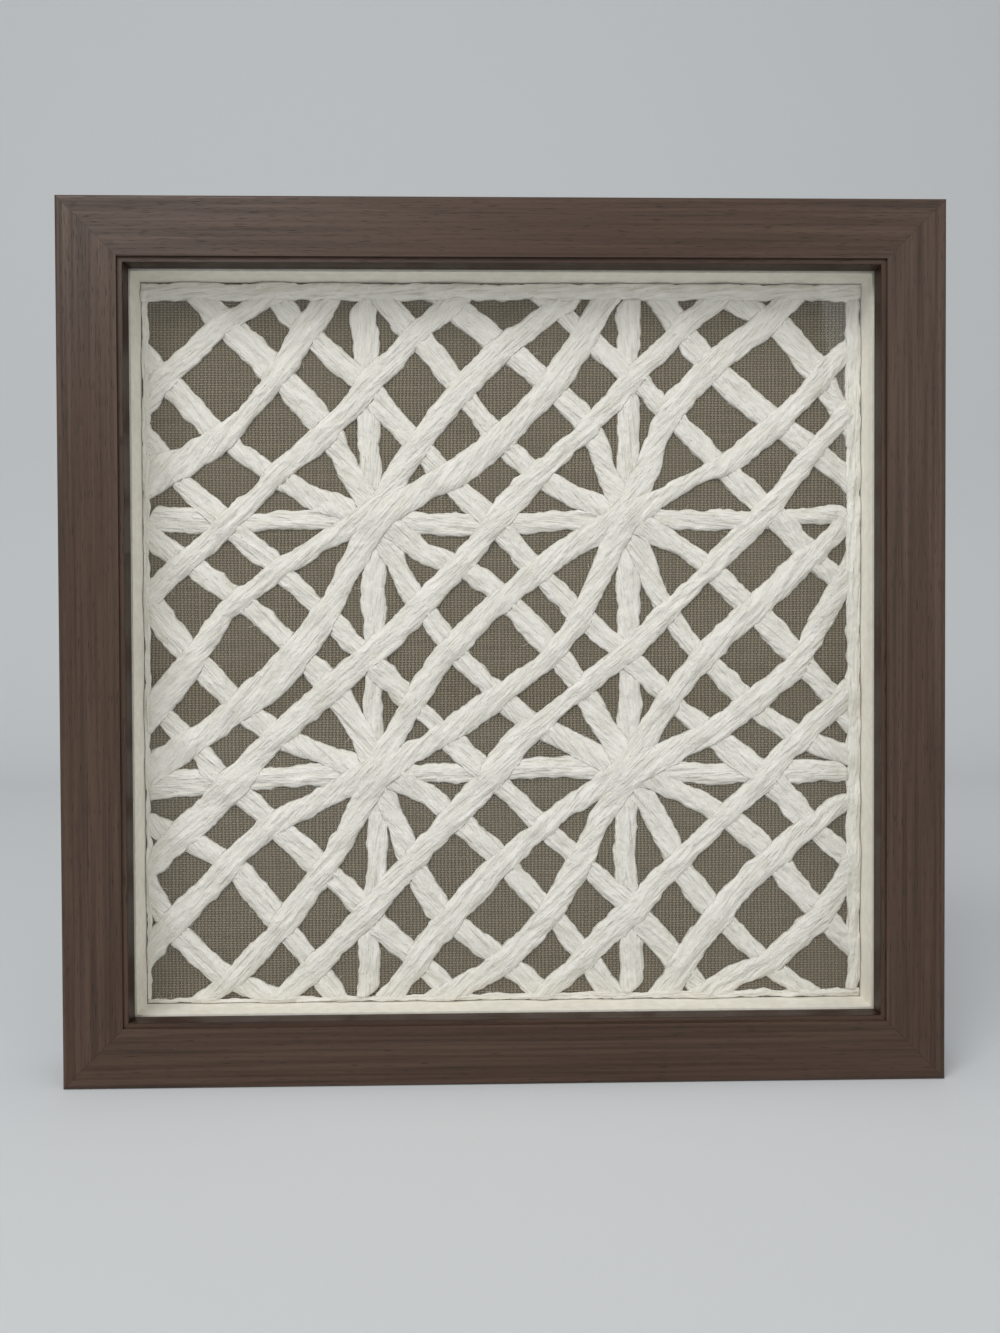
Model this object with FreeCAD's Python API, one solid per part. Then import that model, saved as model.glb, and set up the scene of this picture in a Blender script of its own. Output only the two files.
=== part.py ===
import FreeCAD, Part
import math
import os

# A square shadow-box frame that holds a lattice of long folded paper strips over linen, behind glass.
# X is to the right, Y goes into the wall, Z is up. The origin is the middle of the frame's underside.

V = FreeCAD.Vector

# Frame moulding, in millimetres
SIGHT_W = 260.0          # clear opening, across
SIGHT_H = 260.0          # clear opening, up
FACE_W = 22.5            # width of the moulding's face
RABBET = 6.0             # how far the lip covers the glass
LIP_DEPTH = 7.0          # depth of the lip in front of the glass
EDGE_ROUND = 1.2         # round on the outer front edge
STEP_W = 1.8             # the small step beside the opening
STEP_DROP = 0.9
FIT = 0.5                # clearance round the glass and boards

# The pack of sheets inside the rabbet, from the front
GLASS_T = 2.0
SPACER_DEPTH = 11.0
LINEN_T = 0.8
MOUNT_T = 3.0
BACKING_T = 2.5
BACK_RECESS = 5.7        # empty depth behind the backing board

# Paper strips
PAPER_T = 1.2            # thickness of one folded strip
PAPER_BEVEL = 1.5        # how far each long edge leans in
PAPER_GAP = 0.3          # gap between the paper and the spacer walls
ROUTE_SPAN = 260.0       # the opening for which the routes below are written
HUB_TOP = 17.0           # radius of the stacked middle of a star
HUB_FOOT = 23.0          # radius at which the stack has come down

# Fixings
TAB_LEN, TAB_W, TAB_T = 16.0, 6.0, 0.5
TAB_SEAT = 7.0           # length of a tab inside the wood
TAB_PITCH = 90.0
V_NAIL_LEG, V_NAIL_T, V_NAIL_DEPTH = 6.0, 0.6, 9.0
HANGER_W, HANGER_H, HANGER_T = 45.0, 9.0, 1.0
HANGER_RISE = 1.6        # the toothed edge stands off the wood by this much
TOOTH_PITCH = 3.0
TOOTH_DEPTH = 1.6
NAIL_R, NAIL_HEAD_R, NAIL_HEAD_T, NAIL_LEN = 0.7, 1.7, 0.6, 9.0
NAIL_SPREAD = 39.0
BUMPER_R, BUMPER_T = 5.0, 2.6
BUMPER_ROUND = 0.8

# Sizes that follow from those above
OUTER_W = SIGHT_W + 2 * FACE_W
OUTER_H = SIGHT_H + 2 * FACE_W
GLASS_FRONT = LIP_DEPTH
SPACER_FRONT = GLASS_FRONT + GLASS_T
LINEN_FRONT = SPACER_FRONT + SPACER_DEPTH
MOUNT_FRONT = LINEN_FRONT + LINEN_T
BACKING_FRONT = MOUNT_FRONT + MOUNT_T
BACKING_BACK = BACKING_FRONT + BACKING_T
FRAME_DEPTH = BACKING_BACK + BACK_RECESS
PANE_W = SIGHT_W + 2 * (RABBET - FIT)
PANE_H = SIGHT_H + 2 * (RABBET - FIT)
SPACER_W = RABBET - FIT

SIDES = {"top": 0.0, "right": 90.0, "bottom": 180.0, "left": 270.0}

# Routes of the strips, in millimetres from the middle of the opening: across, up, width.
UPRIGHTS = [
    [(-50, 131, 9), (-50.2, 115, 9.5), (-49.5, 104, 9.5), (-48.5, 90, 9), (-48.5, 75, 7.5),
     (-48.3, 64, 8), (-46.5, 46, 9), (-46.5, 30, 9), (-47.5, 20, 9), (-47.2, 8, 8.5),
     (-47, -5, 8), (-48, -20, 6.5), (-47.5, -29, 7), (-46, -46, 8), (-46, -63, 7),
     (-46.3, -75, 7.5), (-47.3, -86, 7.5), (-49, -98, 8), (-49.8, -112, 7.5), (-50.2, -131, 9)],
    [(45.2, 131, 8.5), (45.1, 115, 8.2), (45, 104, 8), (45.3, 88, 7.8), (45.3, 76, 7.8),
     (45, 64, 8.5), (44, 46, 9), (45, 30, 8.5), (45.3, 20, 8.8), (45.3, 8, 8.5), (45.4, -5, 8.5),
     (45.7, -18, 8), (45.3, -29, 8.5), (45, -46, 9), (44, -63, 8.5), (43.4, -74, 8),
     (44, -86, 8.5), (45.4, -98, 8.5), (45.8, -112, 8.5), (45.8, -131, 9)],
]
LEVELS = [
    [(-131, 46, 10.5), (-118, 45, 9), (-104, 44.5, 8), (-90, 44.3, 6.5), (-78, 44.8, 7),
     (-65, 45.5, 8), (-46.5, 46, 9), (-30, 43.4, 7), (-20, 43, 8), (-5, 43.2, 8), (10, 43.8, 7),
     (22, 44.4, 6.5), (44, 46, 9), (62, 44.6, 7.4), (76, 44.6, 6.9), (90, 44.8, 7),
     (103, 45.3, 6.5), (115, 46.4, 6.3), (131, 47.8, 7)],
    [(-131, -51, 10), (-112, -50, 9.5), (-100, -49.5, 8.5), (-86, -48.5, 7.5), (-74, -47.5, 8),
     (-64, -47, 8.5), (-46, -46, 9), (-30, -46.8, 6), (-20, -47, 7), (-5, -46.5, 8),
     (10, -45.1, 7.8), (24, -44.8, 8.2), (45, -46, 9.5), (63, -47.2, 8), (76, -47.8, 7.5),
     (90, -47.8, 7.5), (104, -47.3, 8), (118, -46.9, 7.6), (131, -46.8, 8)],
]
RISING = [
    [(-133, 83, 10), (-129, 87.5, 9), (-120.5, 96.5, 8.5), (-112.5, 104, 8), (-105, 111.5, 8),
     (-96.5, 117.5, 7.5), (-86, 123.5, 6), (-76, 127.5, 6)],
    [(-133, 58, 14), (-125, 61.5, 13), (-115.5, 65.5, 11), (-102, 73.5, 9.5), (-91.5, 84, 6.5),
     (-84, 93, 8), (-77.5, 102.5, 9), (-72, 111, 9.5), (-66, 120, 9.5), (-60, 131, 10)],
    [(-133, 14.5, 9), (-125, 20.5, 8.5), (-117, 27.5, 8), (-110.5, 33, 7.5), (-102, 41, 8),
     (-93, 50, 7.5), (-86, 56.5, 7), (-79, 64, 7.5), (-67, 73.5, 9), (-57.5, 82.5, 7.5),
     (-51, 90, 8.5), (-45, 97.5, 9), (-38, 104.5, 8), (-28.5, 114.8, 7.5), (-20, 121.5, 8),
     (-10, 131, 8.5)],
    [(-133, -29, 12), (-122.5, -18.5, 11), (-115.5, -9.5, 10.5), (-109, -1, 8), (-104, 7.5, 7),
     (-98.5, 13.5, 7.5), (-91.5, 19.2, 7), (-84, 25, 7), (-77, 30, 7), (-66, 36.5, 6.5),
     (-46.5, 46.5, 9.5), (-39, 60, 9), (-33, 69, 8.5), (-28.5, 75.2, 8.5), (-18.5, 88, 9),
     (-12.8, 94.3, 9), (-3.5, 103.2, 9), (4.2, 110.2, 8.5), (15, 118, 7.5), (23, 122.5, 7),
     (29, 131, 6)],
    [(-133, -47, 12), (-118, -38.5, 10), (-108, -32, 9.5), (-98, -24.5, 10), (-90, -18, 12),
     (-84, -13, 12), (-77, -6, 11.5), (-71, 2, 10.5), (-66, 9, 10), (-61.5, 16, 8.5),
     (-56, 27, 8.5), (-45.5, 45.5, 10), (-29, 56, 9), (-17, 61.5, 9.5), (-8, 68.5, 10),
     (0, 75.3, 9.5), (8, 83, 9), (16, 91.5, 9.5), (23, 101, 10), (28.5, 109.5, 9.5),
     (33.5, 118, 9), (40.5, 131, 9)],
    [(-133, -84, 9), (-123, -74.5, 9.5), (-114.5, -66, 10.5), (-105, -57.5, 11), (-97, -49, 11),
     (-90, -40.5, 9), (-83.5, -34, 9), (-76, -27.5, 9), (-67, -20, 9), (-58, -11.5, 9.5),
     (-50, -5, 9), (-43, 1, 9), (-36.5, 7.3, 9), (-27, 17, 8.5), (-20, 24.6, 8.5),
     (-13, 32, 8), (-8, 37.8, 8), (-3, 44, 8.5), (2.5, 51.3, 9.5), (9.5, 58, 9.5),
     (15.7, 64.3, 7.5), (27, 74.5, 7), (34.5, 82, 7.5), (40, 88, 8), (45.5, 94, 8),
     (51, 100, 7), (61, 110.3, 7), (68, 117.3, 8), (75, 122.5, 8), (84, 131, 8)],
    [(-133, -115, 9), (-126, -107, 9), (-117, -97.5, 9), (-103, -83, 9), (-96.5, -76, 8),
     (-87.5, -67.5, 8), (-80, -62.5, 7.5), (-70, -58, 7.5), (-46.5, -45.5, 9.5), (-36, -26, 7),
     (-31.2, -18, 8), (-26.5, -10.5, 8.5), (-21.5, -4, 8.5), (-15.5, 2, 8.5), (-4.5, 12.8, 8.5),
     (3.5, 19.5, 8), (8.5, 23.5, 8), (16, 29, 8.5), (25, 35, 8.5), (44, 46.8, 9.5),
     (51.5, 62, 9), (55.8, 74.5, 8.5), (62, 86, 9.5), (71.5, 96.8, 9.5), (79.5, 103.7, 9),
     (93, 114, 9), (101, 121.5, 9), (111, 131, 9)],
    [(-113, -131, 6), (-104, -124.3, 6.5), (-96.5, -118.3, 8), (-90, -111.5, 8),
     (-83.3, -105, 8), (-77.5, -97.5, 9), (-69, -86, 9), (-62.5, -76.5, 7.5), (-57, -67.5, 7.5),
     (-45.5, -46.5, 9.5), (-27, -35.7, 7), (-17.5, -30, 9), (-6, -21.7, 9), (1.2, -16.3, 7.5),
     (8, -11.5, 7.5), (14.5, -7, 7.5), (21, 0.3, 7.5), (25.5, 6, 7.5), (29.5, 13, 8),
     (35, 25.5, 8), (44, 45.2, 9.5), (63, 56.3, 6), (73, 61.5, 6), (83.4, 66.4, 8.5),
     (96.5, 76.5, 8.5), (103.2, 83, 7.5), (111.5, 91.7, 7.5), (119, 101, 8), (124, 105.5, 8),
     (133, 112.5, 8)],
    [(-83, -131, 8), (-77.5, -125, 8.5), (-71, -118.5, 8.5), (-65.5, -113.3, 8.5),
     (-56, -103.7, 8.5), (-47.5, -94.5, 8.5), (-41, -86.7, 8.5), (-35, -80, 8),
     (-29.5, -74.3, 8), (-21.5, -65.5, 8), (-16, -59.8, 9), (-8.5, -52.8, 9.5), (-3.5, -46, 10),
     (1, -39.8, 10), (7, -33.5, 10), (16.5, -26, 6.5), (24, -19.8, 6.5), (31.5, -13.5, 8),
     (38.5, -7.7, 8), (49.5, 1, 8), (56.5, 9.3, 8), (62.5, 14.7, 6.5), (72.5, 24.5, 6.5),
     (77.5, 29.7, 8), (84.5, 36.3, 8.5), (92, 43.7, 8.5), (99, 51.8, 7.5), (110, 66, 7.5),
     (115.7, 73.3, 6.5), (121, 79.5, 6.5), (133, 92.5, 7)],
    [(-45, -131, 8), (-41, -126.5, 8), (-35, -119.5, 8), (-29.5, -111.3, 9.5),
     (-23.2, -103, 9.5), (-18, -97, 9), (-11, -89.5, 9), (-4, -82.3, 9), (2.7, -76.3, 7.5),
     (11, -69.3, 7.5), (17, -63.8, 7), (25, -58.3, 7), (44.5, -45.5, 10), (57, -25, 9),
     (62.5, -16.7, 8.5), (69.5, -8.5, 8.5), (75.5, -2, 9), (87, 9.3, 9), (94, 15, 9),
     (108, 28.3, 9), (115.7, 35, 7.5), (122, 41, 7.5), (133, 51, 7.5)],
    [(-30, -131, 6), (-22.5, -127.6, 6.5), (-14, -124, 7.5), (-5, -118.5, 8), (3.4, -112.2, 9),
     (13.3, -101.8, 9), (18.7, -94, 9), (24, -85.5, 9), (28, -78.5, 9), (34.5, -64, 7.5),
     (45.5, -46.5, 10), (67, -36.5, 8.5), (78.8, -31, 9), (86.5, -25, 9), (92.7, -19.9, 8.5),
     (105, -9.8, 8.5), (110, -2.7, 8), (114.5, 6, 8), (119.5, 15, 8), (125, 25.5, 7.5),
     (132, 38, 7.5)],
    [(10, -131, 7), (19.5, -123.3, 7.5), (25.5, -117.5, 8), (31.8, -111.3, 9.5),
     (39.5, -103.7, 9.5), (45.5, -98, 9.5), (51.5, -92, 8.5), (59, -83.7, 8.5),
     (66.3, -76.6, 7), (77.5, -65.7, 7), (83.5, -60, 8), (91, -53.2, 8), (95.5, -48, 8.5),
     (100.5, -42, 8.5), (106, -36.5, 8.5), (112, -31, 8.5), (118, -25.2, 8.5),
     (124, -19.5, 8), (133, -11.5, 8)],
    [(56, -131, 9), (60, -124.5, 9), (66.5, -114, 10), (75, -103, 10), (80.3, -95.5, 9.5),
     (93.8, -81.5, 9.5), (101, -76, 9), (109, -69.3, 8.5), (115.5, -63.8, 6.5),
     (121, -59.7, 6.5), (133, -56.5, 6.5)],
    [(66, -131, 6), (76, -125.6, 7.5), (84, -122, 8), (92, -119, 8), (99.7, -114.6, 9),
     (112.7, -103, 9.5), (118.3, -95.8, 8.5), (123.5, -87.5, 8.5), (128, -79, 8.5),
     (131.5, -71, 8)],
]
FALLING = [
    [(-132, -80, 8), (-127.5, -91, 8), (-122.5, -98.7, 9), (-117.5, -105.5, 9), (-110, -113.5, 9),
     (-104, -119, 9), (-93, -124.5, 7), (-84, -127.3, 6.5), (-75, -131, 6)],
    [(-133, -63.5, 8), (-127, -65.5, 8), (-113, -71.7, 8), (-104, -77, 7.5), (-98.5, -80, 8),
     (-95, -84, 9.5), (-89, -91.5, 9.5), (-83.5, -98, 9.5), (-78, -105.5, 7.5),
     (-71.5, -113.7, 7.5), (-66.5, -121.5, 8.5), (-60, -131, 8.5)],
    [(-133, -16.5, 8), (-122, -26.3, 7.5), (-115.5, -33, 7.5), (-109, -40, 8), (-104.5, -46, 8),
     (-99, -51.3, 8), (-87, -61.8, 8), (-79.5, -68.7, 9), (-69.5, -78.5, 9.5), (-62, -85, 9),
     (-54.5, -92.5, 9), (-50, -98, 9), (-44.5, -103.5, 8.5), (-36, -112, 8.5),
     (-27.5, -119.5, 8), (-21, -125, 8), (-13, -131, 8)],
    [(-133, 21.5, 11), (-126, 12, 10.5), (-115.5, -1, 10), (-109, -8.5, 8.5), (-98.7, -19, 8.5),
     (-91, -26, 9), (-84.5, -31.3, 9), (-76, -36, 8), (-66, -39.5, 7), (-46.5, -46.5, 9.5),
     (-40.5, -62, 7.5), (-37.3, -70, 9), (-34.5, -78, 9.5), (-31.3, -85, 9.5), (-25, -96, 9.5),
     (-21, -100.3, 9), (-17, -104, 8), (-6, -111.3, 8), (3.5, -119, 8), (10, -124, 8),
     (19, -131, 8)],
    [(-133, 44, 9), (-126, 37.5, 8), (-119, 32.8, 8), (-110, 27, 8), (-99, 18.5, 8),
     (-90, 12, 7.5), (-78.5, 1.7, 7.5), (-72.5, -5, 8.5), (-66, -12, 9.5), (-59.5, -20, 9.5),
     (-54, -29, 9), (-45.5, -45.5, 9.5), (-29, -54.2, 7.5), (-22, -60, 8), (-15, -66, 8.5),
     (-3.5, -76.5, 8.5), (2.5, -83, 8), (12, -94, 8), (19.5, -101.9, 8), (26, -110, 8),
     (32, -118.3, 8.5), (36, -124.5, 8.5), (40, -131, 8.5)],
    [(-133, 79.5, 9), (-126, 70.8, 8.5), (-116, 58.5, 8), (-107, 50, 8), (-101, 44.5, 8),
     (-94.5, 38.5, 8), (-84.5, 30, 8), (-78.5, 24.3, 7), (-68.5, 14.2, 7), (-60, 6, 7.5),
     (-54, -0.8, 7.5), (-49, -5.8, 8), (-43.5, -11, 8.5), (-36.5, -18.3, 8.5), (-30, -25, 6.5),
     (-24, -30.5, 6.5), (-18.5, -36, 8.5), (-12, -42, 8.5), (-6, -47, 8), (0, -52.7, 7),
     (10.5, -63.2, 7), (17.5, -70, 7.5), (24.5, -76.3, 7.5), (31.5, -82.7, 7.5),
     (38, -89, 7.5), (45, -96, 9), (52, -104, 9.5), (60.5, -113.7, 9.5), (66.5, -121, 8.5),
     (74, -131, 8)],
    [(-133, 106.5, 9), (-124, 98, 9), (-117.5, 91, 8.5), (-106.5, 78.7, 8.5), (-101, 74.5, 8),
     (-97, 71, 6.5), (-85.5, 62.5, 6.5), (-78, 58.2, 8), (-71, 53.7, 8), (-64, 51, 8),
     (-46.7, 46, 9.5), (-37, 25, 7), (-33, 17, 8), (-27, 10, 8), (-21.5, 2.5, 8),
     (-15.3, -5.3, 7.5), (-6, -15, 7.5), (0.5, -21.7, 8), (7.3, -27.5, 8.5), (16, -32.3, 9),
     (26, -37, 9), (44.5, -46.5, 9.5), (54.5, -63, 8), (59.5, -72.5, 8.5), (64.8, -83.8, 9),
     (73, -95, 9.5), (78, -100.2, 8), (81.5, -103, 7), (92, -113.7, 7), (99.5, -120.7, 6.5),
     (106, -124.8, 6.5), (115, -131, 6.5)],
    [(-115, 131, 8), (-105, 120, 9), (-97, 112.5, 9.5), (-90, 106, 10.5), (-84, 100, 10.5),
     (-78, 94, 10), (-72, 87, 10.5), (-66, 80, 10), (-60.5, 72, 8.5), (-54.5, 59.5, 8),
     (-45.5, 45.8, 9.5), (-30, 33.5, 7.5), (-21, 29.5, 7.5), (-12, 26, 8), (-4, 19.7, 8),
     (3, 13, 8.5), (9.5, 6.5, 8.5), (16, -0.7, 8.5), (20.3, -6, 8), (26, -13, 8),
     (30.5, -20, 8), (34.5, -28, 8.5), (45.5, -45.5, 9.5), (65, -55, 7), (73, -58.7, 7.5),
     (84, -65.7, 8.5), (94.2, -75, 8.5), (100.8, -82.5, 9), (106, -89, 9), (111.6, -95.5, 9),
     (120, -104, 8), (133, -116.5, 8)],
    [(-87, 131, 8), (-76, 117.8, 8), (-68, 110, 8.5), (-62, 104.5, 8.5), (-54.5, 97.3, 8.5),
     (-48.5, 91.5, 8.5), (-42.5, 84, 8.5), (-35, 75.5, 8.5), (-31, 71, 8), (-27.5, 67.3, 8),
     (-22.5, 61.5, 8), (-15.5, 54.5, 8.5), (-8.5, 49, 8.5), (-3, 43.5, 8.5), (1.8, 37.5, 7.5),
     (9, 29.5, 7.5), (15.5, 22.5, 7.5), (25, 12.5, 7.5), (31.5, 7, 8), (38.5, 0.3, 8),
     (44.5, -5, 8), (50, -10.5, 8), (56.5, -16.8, 8), (63.5, -23.7, 7), (71.5, -29.8, 7.5),
     (79, -36.3, 9), (87, -42.8, 9.5), (95.5, -49, 9.5), (101, -54.3, 9.5), (109.5, -64, 9.5),
     (115.5, -70, 7.5), (121.5, -75.5, 7.5), (133, -85.5, 7.5)],
    [(-48.5, 131, 8), (-40.5, 120.5, 8.5), (-33.5, 113, 8.5), (-27.8, 108, 8.5),
     (-22.5, 101.2, 8.5), (-18.2, 94.7, 8.5), (-13, 87.8, 7.5), (-4.7, 77.5, 7.5),
     (1.2, 70.5, 8), (9.7, 62.8, 8), (15.5, 59, 8), (25, 53.5, 8), (44, 46.5, 9.5),
     (54.3, 21, 7.5), (57.5, 14.7, 7.5), (61.5, 8.3, 7.5), (69.3, -2, 7.5), (76, -8.7, 8),
     (86, -18.8, 8), (93.5, -25.7, 7.5), (104, -32.7, 7.5), (113, -36.8, 7.5), (122, -40, 7.5),
     (133, -43, 7.5)],
    [(-29, 131, 9), (-17, 120.7, 9), (-10, 115.3, 9), (-3.5, 110, 9), (4.5, 103.3, 9),
     (13, 96.5, 9), (21, 89.3, 9), (28.5, 81.5, 9), (33.5, 73.5, 8), (36.5, 63.5, 7.5),
     (44, 45.5, 9.5), (65, 34.7, 7), (72, 29.7, 7), (78, 24, 8), (86.5, 15.7, 8),
     (94.3, 8.5, 9), (104.5, -2.3, 9.5), (111, -9.7, 8), (118.5, -18.5, 8), (125, -27, 7),
     (133, -37, 7)],
    [(9, 131, 7), (21.5, 119, 7.5), (26, 114.7, 7.5), (33.5, 108, 8), (40.5, 101.7, 8),
     (46.5, 96.5, 8), (51.5, 92, 7.5), (57, 86.5, 7.5), (63.5, 80, 7.5), (76, 67.2, 7.5),
     (83.5, 60.3, 8.5), (92, 51.7, 8.5), (97.5, 46.5, 8.5), (103, 41.3, 9), (109, 34.7, 9),
     (114.5, 29, 8), (121, 23.5, 8), (133, 12.5, 8)],
    [(53, 131, 9), (61.5, 117.5, 9.5), (67, 109.7, 9), (72.5, 103.5, 9), (79, 96.5, 9.5),
     (88, 88.7, 9.5), (96.8, 81.7, 9.5), (103, 77.2, 9), (110.5, 71.5, 9), (116, 67, 8.5),
     (121.5, 62.3, 8), (133, 54, 8)],
    [(66, 131, 6), (80, 125, 7), (91, 120.5, 8), (100.8, 114.5, 9.5), (107, 107.5, 10),
     (113, 99.7, 10.5), (117.7, 92.5, 8.5), (121.7, 86, 8), (130, 73, 8)],
]

# Stars: the middle of each, and which strips cross there, from the linen upwards.
# A strip is named by its set and its place in the set's list, counted from 0.
HUBS = [
    {"middle": (-46.5, 46), "stack": [("upright", 0), ("level", 0), ("falling", 7), ("falling", 6),
                                      ("rising", 4), ("rising", 3)]},
    {"middle": (44, 46), "stack": [("upright", 1), ("level", 0), ("falling", 10), ("falling", 9),
                                   ("rising", 6), ("rising", 7)]},
    {"middle": (-46, -46), "stack": [("upright", 0), ("level", 1), ("falling", 4), ("falling", 3),
                                     ("rising", 6), ("rising", 7)]},
    {"middle": (45, -46), "stack": [("upright", 1), ("level", 1), ("falling", 7), ("falling", 6),
                                    ("rising", 10), ("rising", 9)]},
]
BASE_LEVEL = {"upright": 0, "level": 0, "falling": 1, "rising": 2}

# Paper along the four edges: width of the strip at its first and its last end
BORDER_WIDTHS = {"top": (6.2, 5.6), "right": (5.2, 4.6), "bottom": (2.6, 1.4), "left": (1.4, 2.4)}


def place(across, depth, up):
    """A point from the middle of the opening and the frame's front face."""
    return V(across, depth - FRAME_DEPTH / 2, up + OUTER_H / 2)


def turned(shape, side):
    """Turn a piece made for the top side round to another side of the frame."""
    copy = shape.copy()
    copy.rotate(V(0, 0, 0), V(0, 1, 0), SIDES[side])
    copy.translate(place(0, 0, 0))
    return copy


def side_sizes(side):
    """Opening across the side, and distance of the opening's edge from its middle."""
    if side in ("top", "bottom"):
        return SIGHT_W, SIGHT_H / 2
    return SIGHT_H, SIGHT_W / 2


def slab(width, height, front, thickness):
    return Part.makeBox(width, thickness, height, place(-width / 2, front, -height / 2))


def rail(side):
    opening, sight_edge = side_sizes(side)
    outer = sight_edge + FACE_W
    covered = sight_edge + RABBET
    diagonal = EDGE_ROUND * (1 - math.sqrt(0.5))
    step = sight_edge + STEP_W
    corners = [(outer - EDGE_ROUND, 0), (step, 0), (step, STEP_DROP), (sight_edge, STEP_DROP),
               (sight_edge, LIP_DEPTH), (covered, LIP_DEPTH), (covered, FRAME_DEPTH),
               (outer, FRAME_DEPTH), (outer, EDGE_ROUND)]
    half = opening / 2 + FACE_W
    points = [V(-half, depth, up) for up, depth in corners]
    edges = [Part.makeLine(a, b) for a, b in zip(points, points[1:])]
    middle = V(-half, diagonal, outer - diagonal)
    edges.append(Part.Arc(points[-1], middle, points[0]).toShape())
    bar = Part.Face(Part.Wire(edges)).extrude(V(2 * half, 0, 0))
    inner = half - FACE_W
    mitre = [V(-half, 0, outer), V(half, 0, outer), V(inner, 0, sight_edge), V(-inner, 0, sight_edge)]
    block = Part.Face(Part.makePolygon(mitre + mitre[:1])).extrude(V(0, FRAME_DEPTH, 0))
    return turned(bar.common(block), side)


def tabs(side):
    """Bent-over steel points that hold the backing board, three on a side."""
    _, sight_edge = side_sizes(side)
    low = sight_edge + RABBET + TAB_SEAT - TAB_LEN
    shapes = []
    for step in (-1, 0, 1):
        corner = V(step * TAB_PITCH - TAB_W / 2, BACKING_BACK, low)
        shapes.append(turned(Part.makeBox(TAB_W, TAB_T, TAB_LEN, corner), side))
    return shapes


def v_nails():
    """One bent steel wedge in the back of each mitre, its two legs in the two rails."""
    shapes = []
    for right in (-1, 1):
        for up in (-1, 1):
            at_x = right * (OUTER_W / 2 - FACE_W / 3)
            at_z = up * (OUTER_H / 2 - FACE_W / 3)
            low, leg = V_NAIL_T / 2, V_NAIL_LEG
            outline = [(-low, -low), (leg, -low), (leg, low), (low, low), (low, leg), (-low, leg)]
            points = [place(at_x - right * a, FRAME_DEPTH - V_NAIL_DEPTH, at_z - up * b)
                      for a, b in outline]
            wire = Part.makePolygon(points + points[:1])
            shapes.append(Part.Face(wire).extrude(V(0, V_NAIL_DEPTH, 0)))
    return shapes


def hanger_height():
    """Height of the hanger's middle above the middle of the opening."""
    return SIGHT_H / 2 + RABBET + (FACE_W - RABBET) / 2


def sawtooth_hanger():
    """A steel strip with nailed ends, its toothed lower edge standing off the wood."""
    up = hanger_height()
    end = HANGER_W / 2
    inner = NAIL_SPREAD / 2 - 2 * NAIL_HEAD_R
    bend = inner - 2 * HANGER_RISE
    plan = [(-end, 0), (-inner, 0), (-bend, HANGER_RISE), (bend, HANGER_RISE), (inner, 0), (end, 0)]
    plan += [(across, rise + HANGER_T) for across, rise in reversed(plan)]
    points = [place(across, FRAME_DEPTH + rise, up - HANGER_H / 2) for across, rise in plan]
    strip = Part.Face(Part.makePolygon(points + points[:1])).extrude(V(0, 0, HANGER_H))
    teeth = max(1, int(2 * (bend - TOOTH_PITCH) / TOOTH_PITCH))
    for index in range(teeth):
        across = (index - (teeth - 1) / 2) * TOOTH_PITCH
        low = up - HANGER_H / 2
        notch = [place(across - TOOTH_PITCH / 2, FRAME_DEPTH, low),
                 place(across + TOOTH_PITCH / 2, FRAME_DEPTH, low),
                 place(across, FRAME_DEPTH, low + TOOTH_DEPTH)]
        cutter = Part.Face(Part.makePolygon(notch + notch[:1]))
        strip = strip.cut(cutter.extrude(V(0, HANGER_RISE + HANGER_T, 0)))
    for nail in hanger_nails():
        strip = strip.cut(nail)
    return strip


def hanger_nails():
    shapes = []
    for right in (-1, 1):
        foot = place(right * NAIL_SPREAD / 2, FRAME_DEPTH + HANGER_T - NAIL_LEN, hanger_height())
        shaft = Part.makeCylinder(NAIL_R, NAIL_LEN, foot, V(0, 1, 0))
        seat = place(right * NAIL_SPREAD / 2, FRAME_DEPTH + HANGER_T, hanger_height())
        head = Part.makeCylinder(NAIL_HEAD_R, NAIL_HEAD_T, seat, V(0, 1, 0))
        shapes.append(shaft.fuse(head).removeSplitter())
    return shapes


def wall_bumpers():
    """Two soft pads that keep the lower corners off the wall."""
    offset = FACE_W - (FACE_W - RABBET) / 2
    shapes = []
    for right in (-1, 1):
        seat = place(right * (SIGHT_W / 2 + offset), FRAME_DEPTH, -(SIGHT_H / 2 + offset))
        pad = Part.makeCylinder(BUMPER_R, BUMPER_T, seat, V(0, 1, 0))
        rim = [edge for edge in pad.Edges if edge.CenterOfMass.y > seat.y + BUMPER_T - 0.01
               and edge.Closed]
        shapes.append(pad.makeFillet(BUMPER_ROUND, rim))
    return shapes


def spacer(side):
    """A foam board strip that holds the glass away from the paper."""
    opening, sight_edge = side_sizes(side)
    length = opening + 2 * SPACER_W if side in ("top", "bottom") else opening
    corner = V(-length / 2, SPACER_FRONT, sight_edge)
    return turned(Part.makeBox(length, SPACER_DEPTH, SPACER_W, corner), side)


def solid_of(faces):
    solid = Part.makeSolid(Part.makeShell(faces))
    if solid.Volume < 0:
        solid.reverse()
    return solid


def facet(corners):
    """One flat face through four corners, or two where the corners aren't in one plane."""
    a, b, c, d = corners
    normal = (b - a).cross(c - a)
    if abs(normal.dot(d - a)) <= 1e-7 * max(1.0, normal.Length):
        return [Part.Face(Part.makePolygon([a, b, c, d, a]))]
    return [Part.Face(Part.makePolygon([a, b, c, a])), Part.Face(Part.makePolygon([a, c, d, a]))]


def hubs_on(strip):
    """Stars on a strip, each with the strip's place in its stack."""
    return [(hub["middle"], hub["stack"].index(strip)) for hub in HUBS if strip in hub["stack"]]


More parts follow.
